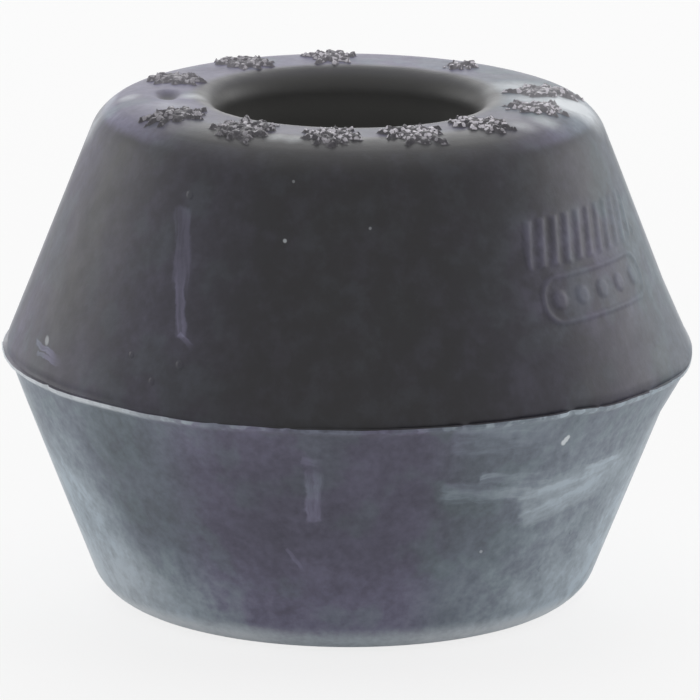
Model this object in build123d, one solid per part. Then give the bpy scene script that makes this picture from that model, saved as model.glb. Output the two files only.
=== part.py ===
from build123d import *
import math
import os

# Control arm bushing: one moulded rubber piece.
# Two cones meet at the girth, a plain bore runs through both, and a ring of raised stars
# stands on the upper end face. Lengths are in millimetres and angles in degrees.
# The origin is the centre of the lower end face, and +Z runs up the bore.

# Heights
height = 38.5
parting_height = 19.1

# Bore through both ends, with a rounded lip above and a plain chamfer below
bore_radius = 9.75
lip_round = 1.9
bore_chamfer = 1.0

# Girth: a narrow upright land, and below it the thin flash left by the mould's parting line
land_radius = 25.6
land_height = 0.7
flash_width = 0.6
flash_thickness = 0.3
flash_foot = 0.65

# End faces, measured to the sharp corners that the rounds take away
upper_end_radius = 18.3
lower_end_radius = 18.1

# Upper end face: flat near the bore, then falling away gently towards its edge
crown_width = 2.8
crown_slope = 14.0

# Rounds, as the length that each takes from the two sides of its corner
upper_edge_round = 1.7
lower_edge_round = 2.5

# How far a round is drawn out towards its corner: about 0.6 is close to a circle's arc
round_fullness = 0.6

# Each round is a row of this many narrow flats that follow a smooth curve
round_flats = 7

# The largest share of a straight side that one round may take away
round_share = 0.45

# Raised stars, each seen from above as a fan of pointed arms.
# The ring that the stars stand on lies the inset inside the upper end's corner. Each star is
# placed by its angle from the front, turning towards +X, by how far its middle lies outside
# the ring, and by its size.
mark_height = 0.35
mark_inset = 4.0
mark_reach = 2.35
mark_root = 1.0
mark_stretch = 1.15
mark_arms = 10
mark_unevenness = 0.15
mark_places = [
    (-4.4, 0.2, 0.95),
    (19.9, 0.1, 1.0),
    (43.9, -0.1, 0.98),
    (72.6, 0.1, 0.95),
    (95.5, 0.3, 1.0),
    (141.5, -0.3, 0.6),
    (185.4, -0.3, 0.84),
    (215.5, -0.2, 0.95),
    (248.5, -0.2, 0.88),
    (302.0, 0.5, 0.98),
    (328.0, 0.3, 1.0),
]

# Shallow dimple where a star is missing from the ring
dimple_angle = 269.0
dimple_radius = 1.9
dimple_depth = 0.35
dimple_inset = 0.8


# Sizes that follow from the ones above
land_top = parting_height + land_height
flash_radius = land_radius + flash_width
flash_bottom = parting_height - flash_thickness
flash_root = parting_height - flash_foot
upper_draft = (land_radius - upper_end_radius) / (height - land_top)
lower_draft = (land_radius - lower_end_radius) / parting_height
mark_ring_radius = upper_end_radius - mark_inset

# Where the falling part of the upper face starts, and where it would meet the upper cone
crown_start = upper_end_radius - crown_width
crown_fall = math.tan(math.radians(crown_slope))
shared_slope = upper_draft * crown_fall
crown_end = (upper_end_radius - shared_slope * crown_start) / (1 - shared_slope)
crown_drop = crown_fall * (crown_end - crown_start)


# Half section of the bushing as corners: distance from the axis, height, round
def section_corners():
    return [
        (bore_radius + bore_chamfer, 0, 0),
        (lower_end_radius, 0, lower_edge_round),
        (lower_end_radius + lower_draft * flash_root, flash_root, 0),
        (flash_radius, flash_bottom, 0),
        (flash_radius, parting_height, 0),
        (land_radius, parting_height, 0),
        (land_radius, land_top, 0),
        (crown_end, height - crown_drop, upper_edge_round),
        (crown_start, height, 0),
        (bore_radius, height, lip_round),
        (bore_radius, bore_chamfer, 0),
    ]


# The two ends of a corner's round: the points on its sides where the round starts and stops
def round_ends(corner, before, after, reach):
    sides = [before - corner, after - corner]
    room = round_share * min(side.length for side in sides)
    return [corner + side.normalized() * min(reach, room) for side in sides]


# A round as narrow flats along a smooth curve, which leaves and meets its sides in line
def round_line(start, corner, stop):
    into = start + (corner - start) * round_fullness
    out_of = stop + (corner - stop) * round_fullness
    curve = Bezier(start, into, out_of, stop)
    points = [curve @ (step / round_flats) for step in range(round_flats + 1)]
    return Polyline(*points)


# The half section as a closed outline of straight sides joined by rounds
def section_outline():
    corners = section_corners()
    points = [Vector(distance, level) for distance, level, reach in corners]
    reaches = [reach for distance, level, reach in corners]
    before = points[-1:] + points[:-1]
    after = points[1:] + points[:1]
    ends = [round_ends(*place) for place in zip(points, before, after, reaches)]
    sides = []
    for number, (start, stop) in enumerate(ends):
        if reaches[number] > 0:
            sides.append(round_line(start, points[number], stop))
        next_start = ends[(number + 1) % len(ends)][0]
        sides.append(Line(stop, next_start))
    return sides


# Turn the half section once round the bore's axis
def turned_body():
    return revolve(Plane.XZ * make_face(section_outline()), Axis.Z)


# Move a shape made at the origin to a place on the ring of stars
def on_ring(shape, angle, distance, level):
    return Rot(0, 0, angle - 90) * Pos(distance, 0, level) * shape


# One star seen from above: long and short corners in turn, stretched away from the bore.
# No two stars are quite alike, so each arm's length varies with the star's number.
def star_outline(number, size):
    points = []
    for corner in range(2 * mark_arms):
        reach = mark_reach if corner % 2 == 0 else mark_root
        wobble = 1 + mark_unevenness * math.sin(2.3 * (corner + 1) * (number + 2))
        angle = math.pi * corner / mark_arms
        across = size * reach * wobble
        points.append((mark_stretch * across * math.cos(angle), across * math.sin(angle)))
    return make_face(Polyline(*points, close=True))


# Upright prisms in the shape of the stars, tall enough to pass through the crowned face
def star_prisms():
    depth = crown_drop + 4 * mark_height
    prisms = []
    for number, (angle, outward, size) in enumerate(mark_places):
        prism = extrude(star_outline(number, size), depth + 2 * mark_height)
        prisms.append(on_ring(prism, angle, mark_ring_radius + outward, height - depth))
    return prisms


# Each star stands the same height above the crowned face, because its top is cut
# from a copy of the body that is raised by that height
def raised_stars(body):
    raised_body = Pos(0, 0, mark_height) * body
    return [prism & raised_body for prism in star_prisms()]


# A ball pressed into the face far enough to leave a dimple of the stated radius and depth
def dimple():
    ball_radius = (dimple_radius**2 + dimple_depth**2) / (2 * dimple_depth)
    level = height + ball_radius - dimple_depth
    return on_ring(Sphere(ball_radius), dimple_angle, mark_ring_radius - dimple_inset, level)


def rubber_bushing():
    body = turned_body()
    stars = raised_stars(body)
    bushing = body - dimple()
    for star in stars:
        bushing += star
    return bushing


os.makedirs("parts", exist_ok=True)
export_step(rubber_bushing(), "parts/rubber_bushing.step")
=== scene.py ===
import math
import bpy
import bmesh
from mathutils import Matrix, Vector, noise


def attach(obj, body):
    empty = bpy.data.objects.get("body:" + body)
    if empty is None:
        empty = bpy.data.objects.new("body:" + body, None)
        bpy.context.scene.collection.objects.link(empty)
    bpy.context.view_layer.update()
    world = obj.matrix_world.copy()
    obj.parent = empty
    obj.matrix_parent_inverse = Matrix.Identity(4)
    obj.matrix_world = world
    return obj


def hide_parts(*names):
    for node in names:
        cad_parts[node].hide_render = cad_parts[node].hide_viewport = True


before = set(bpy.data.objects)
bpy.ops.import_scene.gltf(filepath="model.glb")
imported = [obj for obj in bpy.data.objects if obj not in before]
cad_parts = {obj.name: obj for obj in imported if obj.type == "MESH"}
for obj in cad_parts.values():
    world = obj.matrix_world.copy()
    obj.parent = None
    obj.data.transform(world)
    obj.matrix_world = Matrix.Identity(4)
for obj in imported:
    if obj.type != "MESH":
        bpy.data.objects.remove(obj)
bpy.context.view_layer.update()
mm = 0.001  # every size below is in millimetres


# Camera at the photograph's viewing angle

view = {
    "distance": 649.0,
    "elevation": 14.056,
    "roll": 0.467,
    "aimSide": 0.298,
    "aimHeight": 18.749,
    "lens": 441.62,
    "sensorWidth": 36,
    "clipStart": 0.01,
}


def placeCamera(s):
    lean = math.radians(s["elevation"])
    turn = math.radians(s["roll"])
    right = Vector((1, 0, 0))
    up = Vector((0, math.sin(lean), math.cos(lean)))
    back = Vector((0, -math.cos(lean), math.sin(lean)))
    rolledRight = right * math.cos(turn) + up * math.sin(turn)
    rolledUp = up * math.cos(turn) - right * math.sin(turn)
    place = Vector((s["aimSide"], 0, s["aimHeight"])) * mm + back * s["distance"] * mm
    data = bpy.data.cameras.new("photoCamera")
    data.lens = s["lens"]
    data.sensor_width = s["sensorWidth"]
    data.clip_start = s["clipStart"]
    camera = bpy.data.objects.new("photoCamera", data)
    facing = Matrix((rolledRight, rolledUp, back)).transposed().to_4x4()
    camera.matrix_world = Matrix.Translation(place) @ facing
    bpy.context.scene.collection.objects.link(camera)
    bpy.context.scene.camera = camera


placeCamera(view)
print("camera placed")


# Rubber body: half a section turned once round the bore

bushing = {
    "height": 38.5,
    "partingHeight": 19.1,
    "boreRadius": 9.75,
    "boreChamfer": 1.0,
    "lipRound": 1.9,
    "landRadius": 25.6,
    "landHeight": 0.7,
    "flashWidth": 0.36,
    "flashThickness": 0.2,
    "flashFoot": 0.65,
    "upperEndRadius": 18.3,
    "lowerEndRadius": 18.1,
    "crownWidth": 2.4,
    "crownSlope": 18.5,
    "crownRound": 0.9,
    "upperEdgeRound": 1.7,
    "lowerEdgeRound": 2.5,
    "footRound": 0.15,
    "rimRound": 0.07,
    "landRound": 0.25,
    "seamRow": 0.05,
    "padFoot": 24.2,
    "padTop": 33.4,
    "outsideFrom": 17.0,
    "turnSteps": 640,
    "faceRows": {"above": 36.9, "from": 11.0, "to": 18.4, "spacing": 0.13},
    "longRows": {"over": 13.0, "spacing": 4.0},
    "backSag": {"depth": 0.17, "level": 33.5, "levelRamp": 3.0, "back": -4.0, "backRamp": 18.0},
}

upperDraft = (bushing["landRadius"] - bushing["upperEndRadius"]) / (
    bushing["height"] - bushing["partingHeight"] - bushing["landHeight"])


def sectionCorners(s):  # distance from the axis, height, reach of the round, segments
    lowerDraft = (s["landRadius"] - s["lowerEndRadius"]) / s["partingHeight"]
    crownStart = s["upperEndRadius"] - s["crownWidth"]
    crownFall = math.tan(math.radians(s["crownSlope"]))
    shared = upperDraft * crownFall
    crownEnd = (s["upperEndRadius"] - shared * crownStart) / (1 - shared)
    crownDrop = crownFall * (crownEnd - crownStart)
    flashRadius = s["landRadius"] + s["flashWidth"]
    flashRoot = s["partingHeight"] - s["flashFoot"]
    return [
        (s["boreRadius"] + s["boreChamfer"], 0, 0, 0),
        (s["lowerEndRadius"], 0, s["lowerEdgeRound"], 9),
        (s["lowerEndRadius"] + lowerDraft * flashRoot, flashRoot, s["footRound"], 2),
        (flashRadius, s["partingHeight"] - s["flashThickness"], s["rimRound"], 2),
        (flashRadius, s["partingHeight"], s["rimRound"], 2),
        (s["landRadius"], s["partingHeight"], 0, 0),
        (s["landRadius"], s["partingHeight"] + s["seamRow"], 0, 0),
        (s["landRadius"], s["partingHeight"] + s["landHeight"], s["landRound"], 3),
        (crownEnd, s["height"] - crownDrop, s["upperEdgeRound"], 12),
        (crownStart, s["height"], s["crownRound"], 6),
        (s["boreRadius"], s["height"], s["lipRound"], 9),
        (s["boreRadius"], s["boreChamfer"], 0, 0),
    ]


def splitEdges(bm, test, spacing):  # extra rows where a surface gets fine relief
    for edge in [e for e in bm.edges if test(e)]:
        cuts = int(edge.calc_length() / (spacing * mm))
        if cuts > 0:
            bmesh.ops.subdivide_edges(bm, edges=[edge], cuts=cuts)


def edgeMiddle(edge):
    return (edge.verts[0].co + edge.verts[1].co) / (2 * mm)


def turnSection(s):
    face = s["faceRows"]

    def onEndFace(edge):
        middle = edgeMiddle(edge)
        return middle.z > face["above"] and face["from"] < middle.x < face["to"]

    bm = bmesh.new()
    corners = sectionCorners(s)
    verts = [bm.verts.new((corner[0] * mm, 0, corner[1] * mm)) for corner in corners]
    for number, vert in enumerate(verts):
        bm.edges.new((vert, verts[(number + 1) % len(verts)]))
    for vert, corner in zip(verts, corners):
        if corner[2] > 0:
            bmesh.ops.bevel(
                bm, geom=[vert], offset=corner[2] * mm, offset_type="OFFSET", affect="VERTICES",
                segments=corner[3], profile=0.5, material=-1)
    splitEdges(bm, onEndFace, face["spacing"])
    for level in (s["padFoot"], s["padTop"]):
        outside = [e for e in bm.edges if edgeMiddle(e).x > s["outsideFrom"]]
        bmesh.ops.bisect_plane(
            bm, geom=outside, plane_co=(0, 0, level * mm), plane_no=(0, 0, 1), dist=1e-7)
    tall = s["longRows"]["over"] * mm
    splitEdges(bm, lambda edge: edge.calc_length() > tall, s["longRows"]["spacing"])
    bmesh.ops.spin(
        bm, geom=bm.verts[:] + bm.edges[:], cent=(0, 0, 0), axis=(0, 0, 1), dvec=(0, 0, 0),
        angle=2 * math.pi, steps=s["turnSteps"], use_merge=True, use_duplicate=False)
    bmesh.ops.remove_doubles(bm, verts=bm.verts[:], dist=1e-8)
    bmesh.ops.recalc_face_normals(bm, faces=bm.faces[:])
    return bm


bm = turnSection(bushing)
print("section turned:", len(bm.verts), "points")


# Angle round the axis from the front, turning towards +X, in degrees, and distance from the axis

def turnAngle(co):
    return math.degrees(math.atan2(co.x, -co.y))


def axisDistance(co):
    return math.hypot(co.x, co.y) / mm


def angleGap(first, second):
    return (first - second + 180) % 360 - 180


def ease(value):
    value = min(1.0, max(0.0, value))
    return value * value * (3 - 2 * value)


def grain(x, y, z):
    return noise.noise(Vector((x, y, z)))


# Raised stars on the upper end face

stars = {
    "height": 0.34,
    "reach": 2.35,
    "root": 1.5,
    "stretch": 1.2,
    "arms": 10,
    "armCurve": 1.3,
    "armUnevenness": 0.35,
    "wall": 0.1,
    "groove": {"depth": 0.4, "start": 0.2},
    "ragged": {"depth": 0.5, "scale": 2.2},
    "grit": {"depth": 0.3, "scale": 2.4, "fineScale": 4.6, "fineShare": 0.8, "middle": 0.1},
    "pits": {"depth": 0.75, "scale": 1.7, "from": 0.12, "ramp": 0.18},
    "lowestTop": 0.06,
    "above": 36.4,
    "outside": 10.9,
    "halfAngle": 14.0,
    "seeds": {"arm": (7.3, 3.7, 0.5), "ragged": 5.1, "grit": 20, "fineGrit": 40, "pits": 60},
    "places": [  # angle, distance from the axis, size
        (-4.4, 14.5, 0.98), (19.9, 14.4, 1.04), (43.9, 14.2, 0.92), (72.6, 14.7, 0.86),
        (95.5, 14.6, 0.96), (141.5, 14.0, 0.55), (185.4, 14.0, 0.86), (215.2, 14.1, 0.92),
        (248.9, 14.1, 0.84), (301.0, 15.0, 0.96), (328.6, 14.6, 1.12),
    ],
}


def starEdge(across, outward, spread, wave, arm, number, s):  # how far out the ragged wall stands
    byStar, byArm, layer = s["seeds"]["arm"]
    uneven = grain(number * byStar, round(wave) * byArm, layer)
    reach = s["reach"] * (1 + s["armUnevenness"] * uneven)
    edge = s["root"] + (reach - s["root"]) * arm ** s["armCurve"]
    scale = s["ragged"]["scale"]
    ragged = grain(across * scale, outward * scale, number * s["seeds"]["ragged"])
    ragged *= min(1.0, spread)
    return edge + s["ragged"]["depth"] * ragged


def topShare(across, outward, spread, arm, number, s):  # what grooves, grit and pits leave
    groove = s["groove"]["depth"] * (1 - arm) * ease(spread / s["root"] - s["groove"]["start"])
    grit, pits, seeds = s["grit"], s["pits"], s["seeds"]

    def grainAt(scale, seed):
        return grain(across * scale, outward * scale, number + seed)

    rough = grainAt(grit["scale"], seeds["grit"])
    rough += grit["fineShare"] * grainAt(grit["fineScale"], seeds["fineGrit"])
    hollow = grainAt(pits["scale"], seeds["pits"])
    pit = pits["depth"] * ease((hollow - pits["from"]) / pits["ramp"])
    top = min(1.0, 1 - groove - pit + grit["depth"] / s["height"] * (rough - grit["middle"]))
    return max(s["lowestTop"], top)


def starHeight(across, outward, number, size, s):
    outward = outward / s["stretch"]
    spread = math.hypot(across, outward) / size
    wave = math.atan2(across, outward) * s["arms"] / (2 * math.pi)
    arm = abs((wave % 1) * 2 - 1)
    edge = starEdge(across, outward, spread, wave, arm, number, s)
    raised = ease((edge - spread) / s["wall"])
    return raised * s["height"] * topShare(across, outward, spread, arm, number, s)


def raiseStars(bm, s):
    layer = bm.verts.layers.float.new("starTop")
    for vert in bm.verts:
        distance = axisDistance(vert.co)
        if vert.co.z < s["above"] * mm or distance < s["outside"]:
            continue
        angle = turnAngle(vert.co)
        for number, (place, ring, size) in enumerate(s["places"]):
            gap = angleGap(angle, place)
            if abs(gap) > s["halfAngle"]:
                continue
            across = distance * math.radians(gap)
            rise = starHeight(across, distance - ring, number, size, s)
            if rise > 0:
                vert.co.z += rise * mm
                vert[layer] = max(vert[layer], rise / s["height"])


raiseStars(bm, stars)
print("stars raised")


# Dimple where a star is missing from the ring

dimple = {
    "angle": 271.5,
    "distance": 13.6,
    "halfAcross": 1.9,
    "halfOutward": 1.05,
    "depth": 0.5,
    "edge": 1.15,
    "above": 37.0,
    "outside": 11.2,
}


def pressDimple(bm, s):
    layer = bm.verts.layers.float.new("dimple")
    for vert in bm.verts:
        distance = axisDistance(vert.co)
        if vert.co.z < s["above"] * mm or distance < s["outside"]:
            continue
        across = distance * math.radians(angleGap(turnAngle(vert.co), s["angle"]))
        away = math.hypot(across / s["halfAcross"], (distance - s["distance"]) / s["halfOutward"])
        vert[layer] = ease(s["edge"] - away)
        vert.co.z -= s["depth"] * mm * vert[layer]


pressDimple(bm, dimple)


def sagBack(bm, s):  # the upper end face lies a little lower at the back
    for vert in bm.verts:
        near = ease((vert.co.z / mm - s["level"]) / s["levelRamp"])
        back = ease((vert.co.y / mm - s["back"]) / s["backRamp"])
        vert.co.z -= s["depth"] * near * back * mm


sagBack(bm, bushing["backSag"])
print("dimple pressed")


# Girth: thin flash with nicks and an uneven parting line

girth = {
    "furthest": 26.17,
    "slack": 0.02,
    "marks": {"belowLedge": 0.01, "insideEnd": 3.0, "outsideLand": 0.1},
    "line": {"lift": 0.1, "waver": 0.1, "scale": 6.0, "from": 17.8, "to": 20.6, "outside": 24.0},
    "sag": {"depth": 0.3, "from": 38.0, "rampIn": 16.0, "to": 112.0, "rampOut": 24.0},
    "swell": {"width": 0.5, "from": 60.0, "rampIn": 24.0, "to": 140.0, "rampOut": 30.0},
    "swellLevels": {"foot": 15.5, "footRamp": 3.3, "top": 21.0, "land": 0.3},
    "swellOutside": 18.0,
    "shift": {"lower": -0.05, "upper": 0.04, "from": 11.5, "ramp": 5.0},
    "flash": {
        "waver": 0.3, "middle": 0.3, "scale": 14.0,
        "fineScale": 60.0, "fineShare": 0.5, "least": 0.08,
    },
    "nickDepth": 0.9,
    "nickReach": 1.2,
    "nicks": [  # angle, half width
        (-21.7, 0.5), (-9.4, 0.4), (20.2, 0.45), (40.6, 0.6), (47.0, 0.3), (62.0, 0.5),
        (118.0, 0.5), (171.0, 0.7), (236.0, 0.4), (301.0, 0.3),
    ],
}


def span(angle, s):  # 1 between two angles, with soft ends
    return ease((angle - s["from"]) / s["rampIn"]) * ease((s["to"] - angle) / s["rampOut"])


def flashKeep(angle, ring, s):  # share of the flash's width that is left at a place
    flash = s["flash"]
    waver = flash["middle"] + noise.noise(ring * flash["scale"])
    waver += flash["fineShare"] * noise.noise(ring * flash["fineScale"])
    keep = 1 - flash["waver"] * max(0.0, waver)
    for place, width in s["nicks"]:
        reach = abs(math.radians(angleGap(angle, place))) * bushing["landRadius"]
        keep *= 1 - s["nickDepth"] * ease(s["nickReach"] - reach / width)
    return max(flash["least"], keep)


def swellShare(level, isLower, s):  # the swelling dies away below and above the girth
    if isLower:
        return ease((level - s["foot"]) / s["footRamp"])
    return ease((s["top"] - level) / (s["top"] - bushing["partingHeight"] - s["land"]))


def markGirth(bm, s):  # for the finish: the lower half and the rim of the flash
    ledge = bushing["partingHeight"] - s["belowLedge"]
    innermost = bushing["lowerEndRadius"] - s["insideEnd"]
    rim = bushing["landRadius"] + s["outsideLand"]
    lowerLayer = bm.verts.layers.float.new("lowerHalf")
    rimLayer = bm.verts.layers.float.new("flashRim")
    for vert in bm.verts:
        distance = axisDistance(vert.co)
        below = vert.co.z / mm < ledge
        vert[lowerLayer] = float(below and distance > innermost)
        vert[rimLayer] = float(below and distance > rim)


def roughenGirth(bm, s):
    land = bushing["landRadius"]
    line, swell, shift = s["line"], s["swell"], s["shift"]
    for vert in bm.verts:
        level = vert.co.z / mm
        distance = axisDistance(vert.co)
        isLower = level < bushing["partingHeight"] + s["slack"]
        angle = turnAngle(vert.co)
        swing = math.radians(angle)
        ring = Vector((math.sin(swing), math.cos(swing), 0))
        reach = distance
        if distance > line["outside"] and line["from"] < level < line["to"]:
            rise = line["lift"] + line["waver"] * noise.noise(ring * line["scale"])
            vert.co.z += (rise - s["sag"]["depth"] * span(angle, s["sag"])) * mm
            if distance > land + s["slack"]:
                reach = land + (distance - land) * flashKeep(angle, ring, s)
        if distance > s["swellOutside"]:
            share = span(angle, swell) * swellShare(level, isLower, s["swellLevels"])
            reach = min(reach + swell["width"] * share, max(reach, s["furthest"]))
            vert.co.x *= reach / distance
            vert.co.y *= reach / distance
        sideways = shift["lower"] if isLower else shift["upper"]
        vert.co.x += sideways * ease((distance - shift["from"]) / shift["ramp"]) * mm


markGirth(bm, girth["marks"])
roughenGirth(bm, girth)
print("girth roughened")


# Raised grip bars and a plain framed panel on the upper cone

grip = {
    "fromAngle": 35.0,
    "toAngle": 80.0,
    "outside": 19.0,
    "uprightFrom": 0.1,
    "rowSpacing": 0.12,
    "height": 0.1,
    "soft": 0.36,
    "bars": {
        "from": 37.5, "to": 77.0, "inset": 0.4, "level": 30.9,
        "halfTall": 1.65, "halfWide": 0.3, "pitch": 1.36, "slant": 0.24,
    },
    "panel": {
        "from": 39.0, "to": 72.5, "level": 26.85,
        "halfTall": 1.75, "rim": 0.32, "dots": 5, "dotRadius": 0.62,
    },
}


def onPad(vert, s, slack=0.0):
    level = vert.co.z / mm
    if not bushing["padFoot"] - slack < level < bushing["padTop"] + slack:
        return False
    if axisDistance(vert.co) < s["outside"]:
        return False
    return s["fromAngle"] - 10 * slack < turnAngle(vert.co) < s["toAngle"] + 10 * slack


def fineGrid(bm, s):
    inside = {vert for vert in bm.verts if onPad(vert, s, 0.01)}
    between = [e for e in bm.edges if e.verts[0] in inside and e.verts[1] in inside]
    upright = [e for e in between if abs(e.verts[0].co.z - e.verts[1].co.z) > s["uprightFrom"] * mm]
    for tall in sorted({round(e.calc_length() / mm, 2) for e in upright}):
        same = [e for e in upright if e.is_valid and round(e.calc_length() / mm, 2) == tall]
        cuts = int(tall / s["rowSpacing"])
        if cuts > 0:
            bmesh.ops.subdivide_edges(bm, edges=same, cuts=cuts, use_grid_fill=True)


def barRise(along, level, s):
    offset = (level - s["level"]) * s["slant"]
    nearest = round((along - offset) / s["pitch"]) * s["pitch"] + offset
    return min(s["halfWide"] - abs(along - nearest), s["halfTall"] - abs(level - s["level"]))


def panelRise(along, level, length, s):
    half = s["halfTall"]
    nearEnd = min(max(along, half), length - half)
    edge = half - math.hypot(along - nearEnd, level - s["level"])
    rim = min(edge, s["rim"] - edge)
    pitch = (length - 2 * half) / (s["dots"] - 1)
    nearest = min(max(round((along - half) / pitch), 0), s["dots"] - 1) * pitch + half
    dot = s["dotRadius"] - math.hypot(along - nearest, level - s["level"])
    return max(rim, dot)


def raiseGrip(bm, s):
    layer = bm.verts.layers.float.new("gripTop")
    lean = math.atan(upperDraft)
    bars, panel = s["bars"], s["panel"]
    for vert in bm.verts:
        if not onPad(vert, s):
            continue
        level = vert.co.z / mm
        distance = axisDistance(vert.co)
        angle = turnAngle(vert.co)
        rise = -1.0  # well off every mark
        if bars["from"] <= angle <= bars["to"]:
            along = math.radians(angle - bars["from"]) * distance - bars["inset"]
            rise = barRise(along, level, bars)
        if panel["from"] <= angle <= panel["to"]:
            along = math.radians(angle - panel["from"]) * distance
            length = math.radians(panel["to"] - panel["from"]) * distance
            rise = max(rise, panelRise(along, level, length, panel))
        vert[layer] = ease(0.5 + rise / s["soft"])
        rise = s["height"] * vert[layer]
        swing = math.radians(angle)
        sideways = math.cos(lean)
        outward = Vector((math.sin(swing) * sideways, -math.cos(swing) * sideways, math.sin(lean)))
        vert.co += outward * rise * mm


fineGrid(bm, grip)
raiseGrip(bm, grip)
print("grip raised:", len(bm.verts), "points")


def finishMesh(bm, name):
    mesh = bpy.data.meshes.new(name)
    bm.to_mesh(mesh)
    bm.free()
    mesh.polygons.foreach_set("use_smooth", [True] * len(mesh.polygons))
    piece = bpy.data.objects.new(name, mesh)
    bpy.context.scene.collection.objects.link(piece)
    return piece


rubberBushing = finishMesh(bm, "rubberBushing")


# Small helpers for the materials

def addNode(tree, kind, inputs=None, **settings):
    node = tree.nodes.new(kind)
    for key, value in settings.items():
        setattr(node, key, value)
    for key, value in (inputs or {}).items():
        if isinstance(value, bpy.types.NodeSocket):
            tree.links.new(value, node.inputs[key])
        else:
            node.inputs[key].default_value = value
    return node


def calc(tree, operation, first, second=0.0, third=0.0, clamp=False):
    inputs = {0: first, 1: second, 2: third}
    return addNode(tree, "ShaderNodeMath", inputs, operation=operation, use_clamp=clamp).outputs[0]


def vectorCalc(tree, operation, inputs, output="Vector"):
    return addNode(tree, "ShaderNodeVectorMath", inputs, operation=operation).outputs[output]


def remap(tree, value, low, high, toLow=0.0, toHigh=1.0):  # a soft step between two values
    inputs = {"Value": value, "From Min": low, "From Max": high, "To Min": toLow, "To Max": toHigh}
    node = addNode(tree, "ShaderNodeMapRange", inputs, interpolation_type="SMOOTHSTEP")
    return node.outputs["Result"]


def cloud(tree, place, scale, detail=3.0, roughness=0.5, distortion=0.0, output=0):
    inputs = {
        "Vector": place, "Scale": scale, "Detail": detail, "Roughness": roughness,
        "Distortion": distortion,
    }
    return addNode(tree, "ShaderNodeTexNoise", inputs).outputs[output]


def attribute(tree, name):
    return addNode(tree, "ShaderNodeAttribute", attribute_name=name).outputs["Fac"]


def blend(tree, share, first, second):
    inputs = {"Factor": share, "A": first, "B": second}
    return addNode(tree, "ShaderNodeMix", inputs, data_type="RGBA").outputs["Result"]


def product(tree, values):
    total = values[0]
    for value in values[1:]:
        total = calc(tree, "MULTIPLY", total, value)
    return total


# Rubber finish: charcoal rubber under a pale bloom, which lies in areas; some areas are painted
# reflections and highlights rather than bloom.
# An area is a strength and what it is multiplied by: a field as it is, or a field with the
# values between which it fades, and at times the shares that it fades from and to.
# The angle runs from the front towards +X in radians, and aside is its size.

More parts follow.
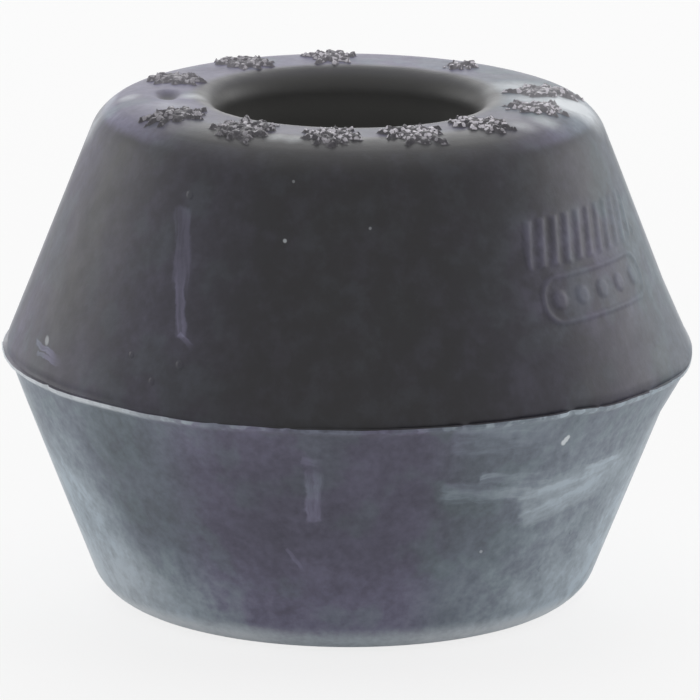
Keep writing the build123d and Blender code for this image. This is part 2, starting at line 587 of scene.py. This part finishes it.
rubber = {
    "charcoal": (0.0115, 0.011, 0.0125, 1),
    "violetBloom": (0.53, 0.505, 0.745, 1),
    "tealBloom": (0.49, 0.595, 0.695, 1),
    "thickBloom": (0.52, 0.598, 0.668, 1),
    "boreDust": (0.576, 0.576, 0.544, 1),
    # white of the dust, also the colour of the painted highlights and reflections
    "whiteDustAndHighlight": (0.78, 0.82, 0.86, 1),
    "specular": 0.38,
    "roughness": 0.34,
    "roughnessCloud": (0.6, 4.0),
    "roughnessUneven": 0.16,
    "bloomRoughness": 0.35,
    "outside": (17.2, 17.8),
    "inBore": (11.2, 10.0),
    "noises": {  # noise settings, then the values between which it fades
        "mottle": ((0.11, 4.0, 0.55, 0.4), (0.35, 0.65)),
        "blotch": ((0.5, 3.0, 0.6, 0.1), (0.3, 0.7)),
        "smudge": ((0.5, 4.0, 0.6), (0.4, 0.7)),
        # dashes: breaks up the painted highlight along the rim of the flash
        "dashes": ((0.9, 2.0), (0.48, 0.6, 0.4, 1.3)),
        "tealPatches": ((0.25, 3.0), (0.5, 0.62, 0.0, 0.5)),
    },
    "speckle": (1.6, 3.0, 0.6),
    "patchy": {"mottle": (0.3, 0.85), "blotch": (0.3, 0.45), "speckle": 0.8},
    "frontSide": {"waver": 0.5, "fade": (2.95, 1.8, 0.08, 1.0), "mostly": (0.7, 0.3)},
    "faceOuter": {"ring": (14.0, 15.2, 0.6, 0.0), "sides": (0.6, 1.3)},
    "thinness": 0.625,
    "thickest": 1.4,
    "overall": 0.012,
    "patchyAreas": [
        # lower half
        (0.27, "lower"),
        (1.2, "lower", "frontSide", ("angle", -0.75, -1.15), ("level", 16.0, 7.0, 0.3, 1.0)),
        (0.45, "lower", "frontSide", ("angle", 0.95, 1.25), ("level", 16.0, 7.0, 0.3, 1.0)),
        # paler towards the outline: partly bloom, partly painted reflection of the floor
        (0.3, "lower", "frontSide", ("aside", 1.25, 1.48)),
        (0.13, "lower", "frontSide", ("angle", -0.25, -0.6)),
        (0.66, "lower", "frontSide", ("angle", 0.15, 1.0), ("level", 18.5, 12.0, 0.7, 1.0)),
        (0.1, "lower", "frontSide", ("level", 14.0, 18.5), ("angle", 0.2, -0.2)),
        (0.3, "lower", "frontSide", ("level", 10.6, 1.5)),
        (0.45, "lower", "frontSide", ("level", 9.0, 2.5), ("angle", -0.2, -0.8)),
        # painted reflection of the floor on the lower edge round
        (1.0, "lower", ("level", 2.6, 0.3)),
        # painted highlight along the rim of the flash, broken into dashes
        (0.9, "lower", "flashRim", "dashes", ("aside", 0.0, 0.9, 0.15, 1.0)),
        # upper end face: partly dust, partly painted reflection of the bright surroundings, kept
        # off the falling front and the edge round
        (0.46, "faceOuter", ("level", 36.9, 37.5), ("distance", 11.0, 12.3)),
        # upper half
        (0.22, "upper", "frontSide", ("aside", 1.05, 1.4)),
        (0.06, "upper", ("level", 24.5, 20.5), ("angle", -0.6, -0.95)),
        (0.1, "upper", "belowTop", ("angle", -0.2, -0.7), ("angle", -1.15, -0.85, 0.2, 1.0)),
        (0.075, "upper", "belowTop", "frontSide", ("angle", 0.25, 0.75)),
        (0.145, "upper", "belowTop", "frontSide", ("angle", 0.75, 1.25)),
        (0.03, "upper", "smudge"),
    ],
    "belowTop": (36.5, 29.0, 0.5, 1.0),
    "evenAreas": [
        # bore, tops of the raised grip, and round the grip
        (0.17, "inBore", ("level", 37.2, 35.2, 0.6, 1.6)),
        (0.1, "gripTop"),
        (0.11, "outside", "blotch", ("angle", 0.55, 0.75), ("angle", 1.5, 1.3),
         ("level", 23.5, 25.5), ("level", 33.6, 32.2)),
    ],
    # painted shade in the dimple
    "dimpleShade": -0.9,
    "dustAndHighlightAreas": [
        # painted reflection of the floor on the lower edge, painted rim reflections along the
        # outlines, dust on the lower left corner, and a painted highlight on the rim of the flash
        (1.0, "lower", "mostlyFront", ("level", 2.3, 0.8), ("aside", 0.0, 0.5, 0.35, 1.0)),
        (0.6, "lower", "frontSide", ("aside", 1.2, 1.46)),
        (0.35, "lower", "frontSide", ("level", 8.5, 2.0), ("angle", -0.6, -1.0)),
        (0.3, "upper", "frontSide", ("aside", 1.45, 1.62)),
        (0.9, "flashRim", ("angle", -0.35, -0.9)),
    ],
    "dustAndGlintPatches": [  # dust, and painted glints on the front and left of the upper face: place, radius, strength
        ((17.4, -2.2, 38.2), 3.4, 0.9), ((15.4, -0.6, 38.9), 5.0, 0.75),
        ((-13.4, -4.4, 38.2), 2.6, 0.2), ((-5.2, -14.6, 38.5), 1.2, 0.3),
        ((-4.0, -15.1, 38.5), 1.2, 0.3), ((6.0, -14.4, 38.5), 1.8, 0.2),
        ((-11.7, -0.9, 38.4), 1.5, 0.3), ((-16.5, -0.6, 38.3), 1.3, 0.5),
        ((12.9, -9.7, 38.4), 1.5, 0.3), ((14.7, -7.8, 38.3), 1.8, 0.4),
        ((12.6, 3.6, 38.6), 3.0, 0.5), ((-18.9, -1.4, 36.2), 2.6, 0.45),
    ],
    "lightSpecks": [  # dust: along the girth, height, radius, strength
        (-4.55, 32.0, 0.16, 0.5), (-3.95, 36.1, 0.12, 0.22), (1.7, 33.0, 0.12, 0.25),
        (17.5, 16.5, 0.26, 1.0), (17.75, 16.72, 0.26, 1.0), (17.95, 16.9, 0.2, 0.9),
        (10.5, 8.2, 0.15, 0.5), (-27.6, 22.0, 0.36, 0.4),
    ],
    "specks": {"outer": 1.2, "inner": 0.5},
    "strokes": [  # wiped smears, along the girth and height: start, end, half width, strength
        ((-12.85, 33.5), (-12.75, 26.8), 0.95, 0.17),
        ((-12.7, 24.7), (-12.95, 30.2), 0.52, 0.27),
        ((-12.9, 24.9), (-11.6, 24.2), 0.3, 0.3),
        ((-29.4, 21.6), (-25.0, 21.2), 0.28, 0.6),
        ((-28.9, 21.0), (-25.0, 20.8), 0.2, 0.45),
        ((-2.2, 11.4), (-2.35, 16.9), 0.75, 0.3),
        ((-3.2, 16.5), (-1.6, 16.3), 0.5, 0.14),
        ((-4.3, 8.9), (-2.9, 7.0), 0.2, 0.2),
        ((13.9, 10.3), (26.5, 12.9), 0.95, 0.5),
        ((13.9, 11.6), (27.5, 13.7), 1.1, 0.42),
        ((15.2, 12.9), (27.0, 14.1), 0.8, 0.24),
        ((20.2, 13.75), (25.8, 13.75), 0.28, 0.5),
        ((7.3, 13.55), (20.0, 12.3), 0.9, 0.42),
        ((10.2, 14.5), (17.5, 13.7), 0.6, 0.24),
        ((10.1, 14.6), (12.6, 14.75), 0.26, 0.34),
        ((8.0, 18.0), (18.0, 17.5), 1.5, 0.24),
        ((8.6, 18.7), (16.0, 18.3), 0.45, 0.14),
        ((12.0, 7.6), (23.0, 9.4), 1.2, 0.06),
        ((-29.0, 13.0), (-16.0, 10.0), 2.6, 0.1),
        ((-21.0, 5.2), (-8.0, 2.6), 2.0, 0.12),
        ((-27.0, 12.4), (-20.5, 8.2), 0.6, 0.36),
        ((-27.4, 16.2), (-21.0, 12.8), 0.9, 0.2),
    ],
    "smear": {  # how a stroke wanders and frays
        "wander": 0.6,
        "wanderCloud": (0.8, 3.0),
        "fibres": (0.22, 1.9),
        "fibreCloud": (1.0, 4.0, 0.6),
        "sideFray": 0.9,
        "side": (1.5, 0.9),
        "endFray": 0.12,
        "start": (0.03, 0.09),
        "end": (1.08, 0.55),
        "gaps": (0.62, 0.38, 0.55, 1.0),
    },
    "tealRight": ("angle", 0.2, 0.42),
    "tealLeft": ("angle", -0.42, -0.65),
    "tealFlank": [("angle", 0.95, 1.25), ("angle", 2.6, 1.9)],
    "tealShare": 0.8,
    "thickens": (0.25, 0.8),
}


def fadeOf(tree, fields, fade):
    if isinstance(fade, str):
        return fields[fade]
    return remap(tree, fields[fade[0]], *fade[1:])


def addAreas(tree, fields, areas, total):
    for strength, *fades in areas:
        share = product(tree, [fadeOf(tree, fields, fade) for fade in fades])
        total = calc(tree, "MULTIPLY_ADD", share, strength, total)
    return total


def surfaceFields(tree, s):  # all that the finish goes by: places, masks and noises
    coords = addNode(tree, "ShaderNodeTexCoord").outputs["Object"]
    place = vectorCalc(tree, "SCALE", {0: coords, "Scale": 1 / mm})
    parts = addNode(tree, "ShaderNodeSeparateXYZ", {0: place}).outputs
    toFront = calc(tree, "MULTIPLY", parts["Y"], -1.0)
    angle = calc(tree, "ARCTAN2", parts["X"], toFront)
    flat = vectorCalc(tree, "MULTIPLY", {0: place, 1: (1, 1, 0)})
    distance = vectorCalc(tree, "LENGTH", {0: flat}, "Value")
    girthwise = calc(tree, "MULTIPLY", angle, distance)
    spread = addNode(tree, "ShaderNodeCombineXYZ", {"X": girthwise, "Y": parts["Z"]}).outputs[0]
    fields = {
        "place": place,
        "x": parts["X"],
        "y": parts["Y"],
        "level": parts["Z"],
        "angle": angle,
        "aside": calc(tree, "ABSOLUTE", angle),
        "distance": distance,
        "spread": spread,
        "outside": remap(tree, distance, *s["outside"]),
        "inBore": remap(tree, distance, *s["inBore"]),
        "lower": attribute(tree, "lowerHalf"),
        "belowTop": remap(tree, parts["Z"], *s["belowTop"]),
    }
    for name in ("flashRim", "starTop", "gripTop", "dimple"):
        fields[name] = attribute(tree, name)
    for name, (settings, fade) in s["noises"].items():
        fields[name] = remap(tree, cloud(tree, place, *settings), *fade)
    notLower = calc(tree, "SUBTRACT", 1.0, fields["lower"])
    fields["upper"] = calc(tree, "MULTIPLY", fields["outside"], notLower)
    side = s["frontSide"]
    wavering = calc(tree, "MULTIPLY_ADD", fields["mottle"], side["waver"], fields["aside"])
    fields["frontSide"] = remap(tree, wavering, *side["fade"])
    fields["mostlyFront"] = calc(tree, "MULTIPLY_ADD", fields["frontSide"], *side["mostly"])
    ring = remap(tree, distance, *s["faceOuter"]["ring"])
    sides = remap(tree, fields["aside"], *s["faceOuter"]["sides"])
    fields["faceOuter"] = calc(tree, "MAXIMUM", ring, sides)
    mottle = calc(tree, "MULTIPLY_ADD", fields["mottle"], *s["patchy"]["mottle"])
    blotch = calc(tree, "MULTIPLY_ADD", fields["blotch"], *s["patchy"]["blotch"])
    patchy = calc(tree, "MULTIPLY", mottle, blotch)
    speckle = cloud(tree, place, *s["speckle"])
    fields["patchy"] = calc(tree, "MULTIPLY_ADD", speckle, s["patchy"]["speckle"], patchy)
    return fields


def wipedStroke(tree, spread, stroke, s):  # a smear, frayed along its length
    (startX, startY), (endX, endY), halfWidth, strength = stroke
    length = math.hypot(endX - startX, endY - startY)
    turn = math.atan2(endY - startY, endX - startX)
    inputs = {
        "Vector": spread, "Location": (startX, startY, 0), "Rotation": (0, 0, turn),
        "Scale": (length, halfWidth, 1),
    }
    local = addNode(tree, "ShaderNodeMapping", inputs, vector_type="TEXTURE").outputs[0]
    parts = addNode(tree, "ShaderNodeSeparateXYZ", {0: local}).outputs
    lengthwise, crosswise = s["fibres"]
    inputs = {
        "Vector": local, "Location": (startX, startY, 3),
        "Scale": (length * lengthwise, halfWidth * crosswise, 1),
    }
    fibres = addNode(tree, "ShaderNodeMapping", inputs).outputs[0]
    streaks = cloud(tree, fibres, *s["fibreCloud"])
    offLine = calc(tree, "ABSOLUTE", parts["Y"])
    edge = calc(tree, "MULTIPLY_ADD", streaks, s["sideFray"], offLine)
    along = calc(tree, "MULTIPLY_ADD", streaks, s["endFray"], parts["X"])
    return product(tree, [
        remap(tree, edge, *s["side"]),
        remap(tree, along, *s["start"]),
        remap(tree, along, *s["end"]),
        remap(tree, streaks, *s["gaps"]),
        strength,
    ])


def spotMask(tree, spread, spot, s):
    away = vectorCalc(tree, "DISTANCE", {0: spread, 1: (spot[0], spot[1], 0)}, "Value")
    return remap(tree, away, spot[2] * s["outer"], spot[2] * s["inner"])


def wanderingSpread(tree, fields, s):  # the unrolled surface, bent a little, so that smears wander
    drift = cloud(tree, fields["place"], *s["wanderCloud"], output="Color")
    drift = vectorCalc(tree, "SUBTRACT", {0: drift, 1: (0.5, 0.5, 0.5)})
    wander = (s["wander"], s["wander"], 0)
    return vectorCalc(tree, "MULTIPLY_ADD", {0: drift, 1: wander, 2: fields["spread"]})


def bloomAndPaintedLightAmount(tree, fields, s):  # how thick the pale bloom lies, from 0 to 1, with painted reflections and highlights added in some areas
    amount = addAreas(tree, fields, s["patchyAreas"], s["overall"])
    amount = calc(tree, "MINIMUM", amount, s["thickest"])
    amount = calc(tree, "MULTIPLY", amount, fields["patchy"])
    amount = addAreas(tree, fields, s["evenAreas"], amount)
    # painted shade in the dimple: the pale layer is taken away there
    dimpleDarkening = calc(tree, "MULTIPLY_ADD", fields["dimple"], s["dimpleShade"], 1.0)
    amount = calc(tree, "MULTIPLY", amount, dimpleDarkening)
    spread = wanderingSpread(tree, fields, s["smear"])
    for stroke in s["strokes"]:
        mask = wipedStroke(tree, spread, stroke, s["smear"])
        amount = calc(tree, "MULTIPLY_ADD", mask, fields["outside"], amount)
    return calc(tree, "MULTIPLY", amount, s["thinness"], clamp=True)


def dustAndHighlightAmount(tree, fields, s):  # white dust over the bloom, with painted highlights: the floor's reflection on the lower edge, rim reflections along the outlines, the flash rim's highlight and glints on the upper face
    dust = addAreas(tree, fields, s["dustAndHighlightAreas"], 0.0)
    for centre, radius, strength in s["dustAndGlintPatches"]:
        gap = vectorCalc(tree, "DISTANCE", {0: fields["place"], 1: centre}, "Value")
        dust = calc(tree, "MULTIPLY_ADD", remap(tree, gap, radius, 0.0), strength, dust)
    dust = calc(tree, "MULTIPLY", dust, fields["patchy"])
    for speck in s["lightSpecks"]:
        mask = spotMask(tree, fields["spread"], speck, s["specks"])
        dust = calc(tree, "MULTIPLY_ADD", mask, speck[3], dust, clamp=True)
    return dust


def bloomColour(tree, fields, amount, s):  # violet in front, teal aside, paler where thick
    front = [fadeOf(tree, fields, s[side]) for side in ("tealRight", "tealLeft")]
    teal = calc(tree, "MULTIPLY", calc(tree, "MAXIMUM", *front), fields["lower"])
    flank = product(tree, [fadeOf(tree, fields, fade) for fade in s["tealFlank"]])
    teal = calc(tree, "MAXIMUM", teal, flank)
    tint = calc(tree, "MULTIPLY_ADD", teal, s["tealShare"], fields["tealPatches"], clamp=True)
    colour = blend(tree, tint, s["violetBloom"], s["tealBloom"])
    colour = blend(tree, remap(tree, amount, *s["thickens"]), colour, s["thickBloom"])
    return blend(tree, fields["inBore"], colour, s["boreDust"])


# Stars' painted light: painted glints on grains of their tops, painted shade between the grains and
# down the walls, lighter at the back and on the right

starPaintedLight = {
    # colour of the painted glints, then of the painted shade in front, at the back and on the right
    "grain": (0.7, 0.67, 0.73, 1),
    "dark": (0.05, 0.046, 0.056, 1),
    "darkBack": (0.17, 0.162, 0.182, 1),
    "darkRight": (0.27, 0.265, 0.285, 1),
    "back": ("y", -10.0, -1.0),
    "right": [("x", 10.5, 14.5), ("y", -7.5, -3.0)],
    "onStar": ("starTop", 0.0, 0.15),
    "grainScale": 2.4,
    "grainEdge": (0.6, 0.4),
    "grainChance": (0.3, 0.4),
    "grainTop": ("starTop", 0.12, 0.35),
    # the painted glints fade where the face falls away at the front, not at the sides, and grow
    # stronger towards +X
    "inner": ("distance", 15.0, 16.6, 1.0, 0.35),
    "sides": ("aside", 0.7, 1.2),
    "paler": ("x", -16.0, 16.0, 0.5, 1.45),
}


# painted glints and painted shade over the stars
def starPaintedLightColour(tree, fields, colour, s):
    inputs = {"Vector": fields["place"], "Scale": s["grainScale"]}
    grains = addNode(tree, "ShaderNodeTexVoronoi", inputs)
    chance = addNode(tree, "ShaderNodeSeparateColor", {"Color": grains.outputs["Color"]}).outputs[0]
    reach = calc(tree, "MAXIMUM", *[fadeOf(tree, fields, s[name]) for name in ("inner", "sides")])
    pale = product(tree, [
        remap(tree, grains.outputs["Distance"], *s["grainEdge"]),
        remap(tree, chance, *s["grainChance"]),
        fadeOf(tree, fields, s["grainTop"]),
        reach,
        fadeOf(tree, fields, s["paler"]),
    ])
    shade = blend(tree, fadeOf(tree, fields, s["back"]), s["dark"], s["darkBack"])
    right = product(tree, [fadeOf(tree, fields, fade) for fade in s["right"]])
    shade = blend(tree, right, shade, s["darkRight"])
    colour = blend(tree, fadeOf(tree, fields, s["onStar"]), colour, shade)
    return blend(tree, pale, colour, s["grain"])


# Fine relief of the moulded skin, with a few small warts

skin = {
    "fineCloud": (2.4, 5.0, 0.6),
    "broadCloud": (0.3, 2.0),
    "fineShare": 0.35,
    "wartHeight": 2.2,
    "warts": [  # along the girth, height, radius
        (-12.3, 34.4, 0.3), (-12.7, 22.8, 0.32), (-15.1, 21.4, 0.25), (-17.1, 22.9, 0.22),
        (19.4, 8.2, 0.2), (16.2, 5.6, 0.2),
    ],
    "bumpDistance": 0.00006,
    "bumpStrength": 0.6,
}


def skinRelief(tree, fields, s):
    fine = cloud(tree, fields["place"], *s["fineCloud"])
    broad = cloud(tree, fields["place"], *s["broadCloud"])
    height = calc(tree, "MULTIPLY_ADD", fine, s["fineShare"], broad)
    for wart in s["warts"]:
        mask = spotMask(tree, fields["spread"], wart, rubber["specks"])
        height = calc(tree, "MULTIPLY_ADD", mask, s["wartHeight"], height)
    inputs = {"Height": height, "Distance": s["bumpDistance"], "Strength": s["bumpStrength"]}
    return addNode(tree, "ShaderNodeBump", inputs).outputs["Normal"]


def makeRubber(s):
    material = bpy.data.materials.new("mouldedRubber")
    material.use_nodes = True
    tree = material.node_tree
    shader = tree.nodes["Principled BSDF"]
    fields = surfaceFields(tree, s)
    # bloom with painted reflections, then white dust with painted highlights, then the stars'
    # painted glints and shade
    amount = bloomAndPaintedLightAmount(tree, fields, s)
    colour = blend(tree, amount, s["charcoal"], bloomColour(tree, fields, amount, s))
    colour = blend(tree, dustAndHighlightAmount(tree, fields, s), colour, s["whiteDustAndHighlight"])
    colour = starPaintedLightColour(tree, fields, colour, starPaintedLight)
    uneven = cloud(tree, fields["place"], *s["roughnessCloud"])
    rough = calc(tree, "MULTIPLY_ADD", uneven, s["roughnessUneven"], s["roughness"])
    rough = calc(tree, "MULTIPLY_ADD", amount, s["bloomRoughness"], rough)
    tree.links.new(colour, shader.inputs["Base Color"])
    tree.links.new(rough, shader.inputs["Roughness"])
    tree.links.new(skinRelief(tree, fields, skin), shader.inputs["Normal"])
    shader.inputs["Specular IOR Level"].default_value = s["specular"]
    return material


rubberBushing.data.materials.append(makeRubber(rubber))
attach(rubberBushing, "root")
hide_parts("rubber_bushing")
print("rubber finished")


# Pale studio

studio = {
    "floorSize": 3.0,
    "floorColour": (0.93, 0.93, 0.93, 1),
    "floorRoughness": 0.9,
    "floorOwnWhite": 0.8,
    "worldStrength": 0.42,
    "lampTarget": (0, 0, 0.02),
    "lamps": [  # name, place, size, watts
        ("overhead", (0.0, 0.22, 0.75), 0.85, 1.8),
        ("behind", (0.0, 0.95, 0.42), 0.7, 1.8),
        ("leftSide", (-0.62, 0.3, 0.13), 0.5, 1.0),
        ("rightSide", (0.62, 0.3, 0.13), 0.5, 1.3),
    ],
}


def lightPathWhite(tree):  # 1 for camera, glossy and transmission rays
    path = addNode(tree, "ShaderNodeLightPath")
    seen = calc(tree, "MAXIMUM", path.outputs["Is Camera Ray"], path.outputs["Is Glossy Ray"])
    return calc(tree, "MAXIMUM", seen, path.outputs["Is Transmission Ray"])


def makeWorld(s):
    world = bpy.data.worlds.new("paleWorld")
    world.use_nodes = True
    tree = world.node_tree
    background = tree.nodes["Background"]
    background.inputs["Color"].default_value = (1, 1, 1, 1)
    dimmed = s["worldStrength"]
    strength = calc(tree, "MULTIPLY_ADD", lightPathWhite(tree), 1 - dimmed, dimmed)
    tree.links.new(strength, background.inputs["Strength"])
    bpy.context.scene.world = world


def makeFloor(s):
    bm = bmesh.new()
    bmesh.ops.create_grid(bm, x_segments=1, y_segments=1, size=s["floorSize"] / 2)
    floor = finishMesh(bm, "floor")
    material = bpy.data.materials.new("paleFloor")
    material.use_nodes = True
    tree = material.node_tree
    shader = tree.nodes["Principled BSDF"]
    shader.inputs["Base Color"].default_value = s["floorColour"]
    shader.inputs["Roughness"].default_value = s["floorRoughness"]
    white = addNode(tree, "ShaderNodeEmission", {"Color": (1, 1, 1, 1), "Strength": 1.0})
    share = calc(tree, "MULTIPLY", lightPathWhite(tree), s["floorOwnWhite"])
    inputs = {0: share, 1: shader.outputs[0], 2: white.outputs[0]}
    mix = addNode(tree, "ShaderNodeMixShader", inputs)
    tree.links.new(mix.outputs[0], tree.nodes["Material Output"].inputs["Surface"])
    floor.data.materials.append(material)


def hangLamp(name, place, size, watts):
    data = bpy.data.lights.new(name, "AREA")
    data.shape = "SQUARE"
    data.size = size
    data.energy = watts
    lamp = bpy.data.objects.new(name, data)
    lamp.location = place
    towards = Vector(studio["lampTarget"]) - lamp.location
    lamp.rotation_euler = towards.to_track_quat("-Z", "Y").to_euler()
    bpy.context.scene.collection.objects.link(lamp)


makeWorld(studio)
makeFloor(studio)
for lamp in studio["lamps"]:
    hangLamp(*lamp)
bpy.context.scene.view_settings.view_transform = "Standard"
print("studio lit")
